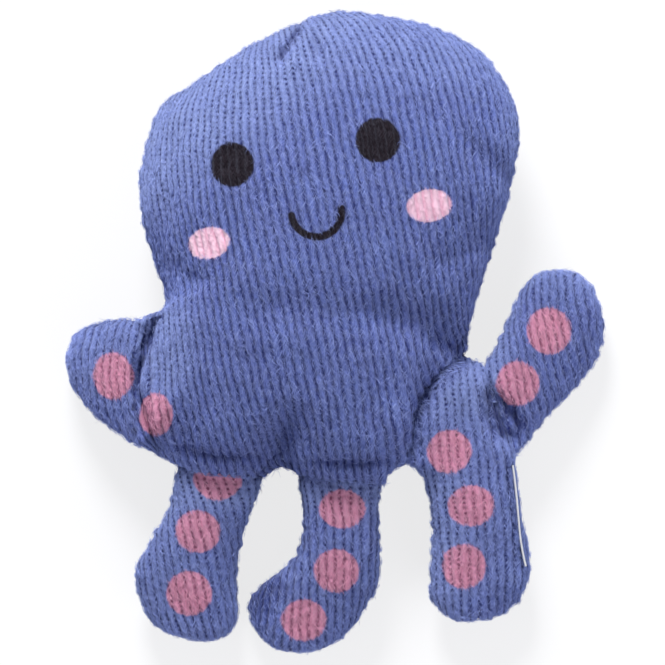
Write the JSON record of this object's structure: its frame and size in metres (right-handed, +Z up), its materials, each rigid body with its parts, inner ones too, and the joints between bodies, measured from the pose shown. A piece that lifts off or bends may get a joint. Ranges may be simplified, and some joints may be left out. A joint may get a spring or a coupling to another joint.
{
  "type": "plush octopus",
  "caption": "Small stuffed octopus of ribbed knit lying face up: rounded head, printed face, short tentacles that fold at their roots, blank side label.",
  "frame": {"origin": "centre of the bounding box's underside; the toy lies on its back on the plane z = 0", "axes": "+Y from the tentacles to the top of the head, +Z up out of the printed face, +X to the viewer's right"},
  "size_m": [0.1306, 0.155, 0.0478],
  "materials": {
    "ribbed_knit": "brushed ribbed knit, periwinkle blue",
    "fibre_filling": "white polyester fibre",
    "satin_label": "blank white woven satin"
  },
  "bodies": {
    "body": {"body_front_panel": "ribbed_knit", "body_back_panel": "ribbed_knit", "body_filling": "fibre_filling"},
    "left_arm": {"left_arm_front_panel": "ribbed_knit", "left_arm_back_panel": "ribbed_knit", "left_arm_filling": "fibre_filling"},
    "left_leg": {"left_leg_front_panel": "ribbed_knit", "left_leg_back_panel": "ribbed_knit", "left_leg_filling": "fibre_filling"},
    "middle_leg": {"middle_leg_front_panel": "ribbed_knit", "middle_leg_back_panel": "ribbed_knit", "middle_leg_filling": "fibre_filling"},
    "right_leg": {"right_leg_front_panel": "ribbed_knit", "right_leg_back_panel": "ribbed_knit", "right_leg_filling": "fibre_filling", "care_label": "satin_label"},
    "right_arm": {"right_arm_front_panel": "ribbed_knit", "right_arm_back_panel": "ribbed_knit", "right_arm_filling": "fibre_filling"}
  },
  "joints": [
    {"name": "left_arm_fold", "type": "hinge", "parent": "body", "child": "left_arm", "pos_m": [-0.04783, -0.01195, 0.01965], "axis": [0, 1, 0], "range_deg": [-30, 70]},
    {"name": "left_leg_fold", "type": "hinge", "parent": "body", "child": "left_leg", "pos_m": [-0.02786, -0.03419, 0.01965], "axis": [-0.9895, 0.1444, 0], "range_deg": [-35, 60]},
    {"name": "middle_leg_fold", "type": "hinge", "parent": "body", "child": "middle_leg", "pos_m": [0.00172, -0.03602, 0.01965], "axis": [-0.9959, 0.0906, 0], "range_deg": [-35, 60]},
    {"name": "right_leg_fold", "type": "hinge", "parent": "body", "child": "right_leg", "pos_m": [0.02325, -0.01826, 0.01965], "axis": [-0.4258, -0.9048, 0], "range_deg": [-30, 50]},
    {"name": "right_arm_fold", "type": "hinge", "parent": "right_leg", "child": "right_arm", "pos_m": [0.03983, -0.01838, 0.01672], "axis": [0.3388, -0.9309, -0.1366], "range_deg": [-35, 45]}
  ]
}
